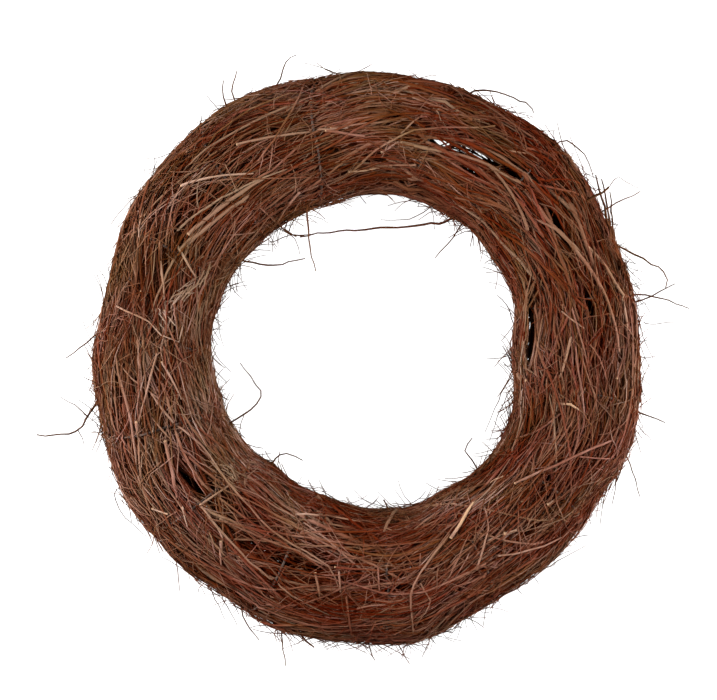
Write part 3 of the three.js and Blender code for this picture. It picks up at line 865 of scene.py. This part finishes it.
# Ridges and dips along the ring, and patches of darker and redder twigs. Each is a sum of waves round it.
rolling = dict(
    waves=14,  # in each sum
    relief=dict(seed=3, along=(1, 8), round=(2, 9), height=1.3),
    darker=dict(seed=5, along=(2, 14), round=(1, 8), height=0.07),
    redder=dict(seed=9, along=(1, 16), round=(1, 8), height=0.3),
    reliefAtSides=0.4, highest=-2.2,
)

# Painted shade: twigs are darker the deeper they lie, where shade falls among them: from what depth, over how
# many millimetres, by how much on each
shading = dict(start=2.5, range=12, perDepth=0.03, lighter=0.025, ownRedness=0.25)


def waves(spots, its):
    own = np.random.default_rng(its["seed"])
    total = np.zeros(len(spots))
    for _ in range(rolling["waves"]):
        turns = own.integers(*its["along"]) * spots[:, 0] + own.integers(*its["round"]) * spots[:, 1]
        total += np.sin(np.radians(turns) + own.uniform(0, 2 * math.pi))
    return total * its["height"] * math.sqrt(2 / rolling["waves"])


def gatherRows():
    sizes = [len(one["spots"]) for one in laid]
    rows = {
        "spots": np.concatenate([one["spots"] for one in laid]),
        "radius": np.concatenate([one["radii"] for one in laid]),
        "chain": np.repeat(np.arange(len(laid)), sizes),
    }
    for kind, names in ((int, ["kind"]), (float, ["tone", "weathered", "ruddy", "pale"]),
                        (bool, ["over", "crosses", "inSpace"])):
        for name in names:
            rows[name] = np.repeat(np.array([one[name] for one in laid], kind), sizes)
    spots = rows["spots"]
    onRing = ~rows["inSpace"]
    rows["ruddy"] += scatter(shading["ownRedness"], len(laid))[rows["chain"]]
    # painted shade: the deeper a spot lies, the darker its tone
    deep = np.clip(spots[:, 2] - shading["start"], 0, shading["range"])
    # painted light and shade by angle round the ring, partly the twigs' own tone, less the patches of darker
    # twigs
    lighter = ringAt("paintedLightAndTone", spots[:, 0]) - waves(spots, rolling["darker"])
    rows["tone"] += onRing * (lighter + shading["lighter"] - shading["perDepth"] * deep)
    redness = ringAt("redness", spots[:, 0]) + waves(spots, rolling["redder"])
    rows["ruddy"] = np.clip(rows["ruddy"] + onRing * redness, -1, 1)
    atSides = rolling["reliefAtSides"]
    byHeight = atSides + (1 - atSides) * np.abs(np.sin(np.radians(spots[:, 1])))
    relief = waves(spots, rolling["relief"]) * byHeight
    lifted = np.maximum(spots[:, 2] + relief, np.minimum(spots[:, 2], rolling["highest"]))
    spots[:, 2] = np.where(onRing, lifted, spots[:, 2])
    return rows


def startsOf(chain):
    return np.flatnonzero(np.r_[True, chain[1:] != chain[:-1]])


def addPaleEnds(rows):
    # A short pale length of bare wood at broken ends: one more spot close before the end.
    paleLength = 1.3
    spots = rows["spots"]
    ends = startsOf(rows["chain"])[np.array([one["paleEnd"] for one in laid])]
    rows["pale"][ends] = 1
    gap = np.linalg.norm(place(spots[ends]) - place(spots[ends + 1]), axis=1)
    share = np.clip(paleLength / np.maximum(gap, 0.1), 0.02, 0.9)
    out, added = insertRows(rows, ends + share)
    out["pale"][added] = 0
    return out


def toPoints(rows):
    points = place(rows["spots"])
    points[rows["inSpace"]] = rows["spots"][rows["inSpace"]]
    points = partTwigs(points, rows, partings)
    points[:, 2] = np.maximum(points[:, 2], rows["radius"] * 1.15)  # nothing goes below the surface it lies on
    return points


def lengthAlong(points, chain):
    steps = np.r_[0, np.linalg.norm(np.diff(points, axis=0), axis=1)]
    starts = startsOf(chain)
    steps[starts] = 0
    total = np.cumsum(steps)
    return total - total[starts][chain]


def bundleOf(points, chain):  # the handful that a twig's middle lies in
    starts = startsOf(chain)
    middles = (starts + np.r_[starts[1:], len(chain)]) // 2
    angle = np.degrees(np.arctan2(points[middles, 1], points[middles, 0]))
    behind = np.mod(wire["crests"][0] - angle, 360)
    edges = wire["crests"][0] - np.array(wire["crests"])
    return (np.searchsorted(edges, behind, side="right") - 1)[chain]


# Bark

bark = dict(
    # colours at five tones, for common, redder and olive twigs
    tones=(0.0, 0.25, 0.5, 0.72, 1.0),
    ramp=[(0.054, 0.0062, 0.0004), (0.078, 0.0155, 0.0026), (0.106, 0.0377, 0.0174), (0.169, 0.0826, 0.0531),
          (0.291, 0.188, 0.155)],
    redRamp=[(0.06, 0.0052, 0.0006), (0.085, 0.0132, 0.0034), (0.115, 0.0304, 0.0183), (0.171, 0.0713, 0.0519),
             (0.291, 0.174, 0.152)],
    oliveRamp=[(0.037, 0.0101, 0.0022), (0.065, 0.0216, 0.0044), (0.098, 0.0456, 0.0166),
               (0.163, 0.0918, 0.0484), (0.291, 0.203, 0.146)],
    weathered=(0.175, 0.114, 0.072),
    wood=(0.36, 0.22, 0.125),
    streakScale=2600, streakStretch=0.09, streakTone=0.4, streakRoughness=0.3,
    patchScale=75, patchTone=0.56,
    lenticelScale=950, lenticelEdge=(0.16, 0.26), lenticelTone=0.12, lenticelRise=0.5,
    greying=0.6, roughness=0.6, specular=0.25, ior=1.11, bumpStrength=0.6, bumpDistance=0.00018,
)


def makeBark():
    material, tree, shader = startMaterial("elmBark")
    add, compute = partial(addOut, tree), partial(calculate, tree)

    def read(name):
        return addNode(tree, "ShaderNodeAttribute", attribute_name=name).outputs

    def byTone(colours):
        ramp = addNode(tree, "ShaderNodeValToRGB", {0: tone})
        ramp.color_ramp.elements.remove(ramp.color_ramp.elements[1])
        for number, (position, colour) in enumerate(zip(bark["tones"], colours)):
            stop = ramp.color_ramp.elements.new(position) if number else ramp.color_ramp.elements[0]
            assign(stop, position=position, color=(*colour, 1))
        return ramp.outputs[0]

    def mixed(share, first, second):
        return addNode(tree, "ShaderNodeMix", {0: share, 6: first, 7: second}, data_type="RGBA").outputs[2]

    at = read("barkAt")["Vector"]
    stretched = add("ShaderNodeMapping", {"Vector": at, "Scale": (1, 1, bark["streakStretch"])})
    streaks = add("ShaderNodeTexNoise", {"Vector": stretched, "Scale": bark["streakScale"], "Detail": 3.0})
    patches = add("ShaderNodeTexNoise", {"Vector": at, "Scale": bark["patchScale"], "Detail": 2.0})
    spots = add("ShaderNodeTexVoronoi", {"Vector": at, "Scale": bark["lenticelScale"]})
    low, high = bark["lenticelEdge"]
    lenticels = add("ShaderNodeMapRange", {0: spots, 1: low, 2: high, 3: 1.0, 4: 0.0})

    tone = compute("MULTIPLY_ADD", patches, bark["patchTone"], -bark["patchTone"] / 2)
    tone = compute("ADD", tone, read("tone")["Fac"])
    tone = compute("ADD", tone, compute("MULTIPLY_ADD", streaks, bark["streakTone"], -bark["streakTone"] / 2))
    tone = compute("ADD", tone, compute("MULTIPLY", lenticels, bark["lenticelTone"]))

    ruddy = read("ruddy")["Fac"]
    sound = mixed(ruddy, byTone(bark["ramp"]), byTone(bark["redRamp"]))
    sound = mixed(compute("MULTIPLY", ruddy, -1.0), sound, byTone(bark["oliveRamp"]))
    greying = compute("MULTIPLY", read("weathered")["Fac"], bark["greying"])
    greyed = mixed(greying, sound, (*bark["weathered"], 1))
    relief = compute("ADD", streaks, compute("MULTIPLY", lenticels, bark["lenticelRise"]))
    roughLow = bark["roughness"] - bark["streakRoughness"] / 2
    setInputs(shader, {
        "Base Color": mixed(read("pale")["Fac"], greyed, (*bark["wood"], 1)),
        "Normal": add("ShaderNodeBump", {
            "Strength": bark["bumpStrength"], "Distance": bark["bumpDistance"], "Height": relief,
        }),
        "Roughness": compute("MULTIPLY_ADD", streaks, bark["streakRoughness"], roughLow),
        "Specular IOR Level": bark["specular"],
        "IOR": bark["ior"],
    })
    return material


barkMaterial = makeBark()
tubeTree = makeTubeTree()

layHeart(heart, twig)
layHeart(filling, hair)
layPacked(packed)
layDressing(dressing)
layStout(stoutBranches)
layLoose(loose)
layLoose(topBits)
layFringe(fringe)
laySeen(seenTwigs, seenLook)
layShreds(shreds, shredLook)
layStrays(strays, strayLook, (-0.05, 0.2))
layStrays(fineStrays, strayLook, (-0.15, 0.15))
print("twigs laid:", len(laid))

rows = pressUnderWire(addPaleEnds(gatherRows()))
points = toPoints(rows)
shift = rng.uniform(0, 5, len(laid))[rows["chain"]]
owner = bundleOf(points, rows["chain"])
looks = {name: rows[name] for name in ("kind", "tone", "weathered", "ruddy", "pale")}
looks.update(thick=rows["radius"] * metre, along=lengthAlong(points, rows["chain"]) * metre, barkShift=shift)
print("spots on them:", len(points))

totalFaces = 0
for number in range(turnCount):
    mine = owner == number
    values = {name: column[mine] for name, column in looks.items()}
    label = f"twigs_{number + 1:02d}"
    source = pathsObject(label, points[mine], rows["chain"][mine], values)
    piece = runTree(source, tubeTree, {"Bark": barkMaterial})
    for spare in ("rim", "kind", "thick", "along", "barkShift"):
        if spare in piece.data.attributes:
            piece.data.attributes.remove(piece.data.attributes[spare])
    faces = len(piece.data.loops) - 2 * len(piece.data.polygons)
    totalFaces += faces
    print(label, "triangles:", faces)
    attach(piece, "root")
    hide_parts(f"twig_bundle_{number + 1:02d}")
print("triangles in all:", totalFaces)


# The wire

patina = dict(
    scale=220.0, roughness=(0.4, 0.45), specular=0.12,
    stops=[(0.38, (0.018, 0.011, 0.008)), (0.68, (0.08, 0.048, 0.036))],
)


def makeWireMaterial(its):
    material, tree, shader = startMaterial("annealedWire")
    at = addNode(tree, "ShaderNodeTexCoord").outputs["Object"]
    mottled = addOut(tree, "ShaderNodeTexNoise", {"Vector": at, "Scale": its["scale"], "Detail": 4.0})
    ramp = addNode(tree, "ShaderNodeValToRGB", {0: mottled})
    for stop, (position, colour) in zip(ramp.color_ramp.elements, its["stops"]):
        assign(stop, position=position, color=(*colour, 1))
    setInputs(shader, {
        "Base Color": ramp.outputs[0],
        "Roughness": calculate(tree, "MULTIPLY_ADD", mottled, *its["roughness"]),
        "Specular IOR Level": its["specular"],
    })
    return material


def makeWire():
    lapped = wire["endLap"] / 360
    turns = np.linspace(-0.5 - lapped, turnCount - 0.5 + lapped, turnCount * wire["stepsPerTurn"] + 1)
    nearEnd = np.clip((turns - turnCount + 1) / 0.5, 0, 1)
    nearStart = np.clip(-turns / 0.5, 0, 1)
    apart = wire["endsApart"] * (nearStart**2 * (3 - 2 * nearStart) - nearEnd**2 * (3 - 2 * nearEnd))
    slow, fast = wire["waverPitch"]
    waver = wire["waver"] * np.sin(turns * slow) * np.cos(turns * fast)
    depth = np.full(len(turns), float(wire["depth"]))
    points = place(np.stack([wireAngle(turns) + apart + waver, 90 - 360 * turns, depth], 1))
    count = len(points)
    values = {name: np.zeros(count) for name in looks}
    values.update(kind=np.full(count, stout), thick=np.full(count, wire["diameter"] / 2 * metre))
    source = pathsObject("binding_wire_turns", points, np.zeros(count, int), values)
    # even, and without knots: the only one is small and inside its end
    return runTree(source, tubeTree, {
        "Bark": makeWireMaterial(patina), "Uneven Width": 0.0, "Knot Spacing": 10.0, "Knot Size": 0.5,
    })


wirePiece = makeWire()
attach(wirePiece, "root")
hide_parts("binding_wire")
print("wire made")


# Floor, light and camera

studio = dict(
    imageWidth=0.4467, planeHeight=0.034, lens=100, sensor=36, middle=(-0.0047, 0.005),
    worldStrength=0.12, floorSize=6, floorColour=0.34, floorRoughness=0.9, floorGlow=0.12,
    lights=[  # name, place, width, length, power
        ("left", (-0.8, 0.11, 0.43), 0.35, 0.8, 26),
        ("right", (0.8, 0.02, 0.43), 0.35, 0.8, 22.2),
        ("overhead", (0, 0, 2.0), 1.0, 1.0, 3),
    ],
)


def makeStudio(its):
    scene = bpy.context.scene
    scene.view_settings.view_transform = "Standard"
    world = scene.world = bpy.data.worlds.new("studio")
    world.use_nodes = True
    white = (1, 1, 1, 1)
    setInputs(world.node_tree.nodes["Background"], {0: white, 1: its["worldStrength"]})
    for name, spot, width, length, power in its["lights"]:
        lamp = bpy.data.lights.new(name, "AREA")
        assign(lamp, shape="RECTANGLE", size=width, size_y=length, energy=power)
        x, y, z = spot
        turned = (math.atan2(math.hypot(x, y), z), 0, math.atan2(y, x) + math.pi / 2)
        assign(addObject(name, lamp), location=spot, rotation_euler=turned)
    bpy.ops.mesh.primitive_plane_add(size=its["floorSize"])
    floor = assign(bpy.context.object, name="floor")
    paint, tree, shader = startMaterial("paleFloor")
    seen = addOut(tree, "ShaderNodeLightPath")  # is camera ray: overexposed for the camera alone
    setInputs(shader, {
        "Base Color": (its["floorColour"],) * 3 + (1,),
        "Roughness": its["floorRoughness"],
        "Emission Color": white,
        "Emission Strength": calculate(tree, "MAXIMUM", seen, its["floorGlow"]),
    })
    floor.data.materials.append(paint)
    lens = assign(bpy.data.cameras.new("camera"), lens=its["lens"], sensor_width=its["sensor"])
    distance = its["imageWidth"] * lens.lens / lens.sensor_width
    scene.camera = addObject("camera", lens)
    scene.camera.location = (*its["middle"], its["planeHeight"] + distance)


makeStudio(studio)
print("studio ready")
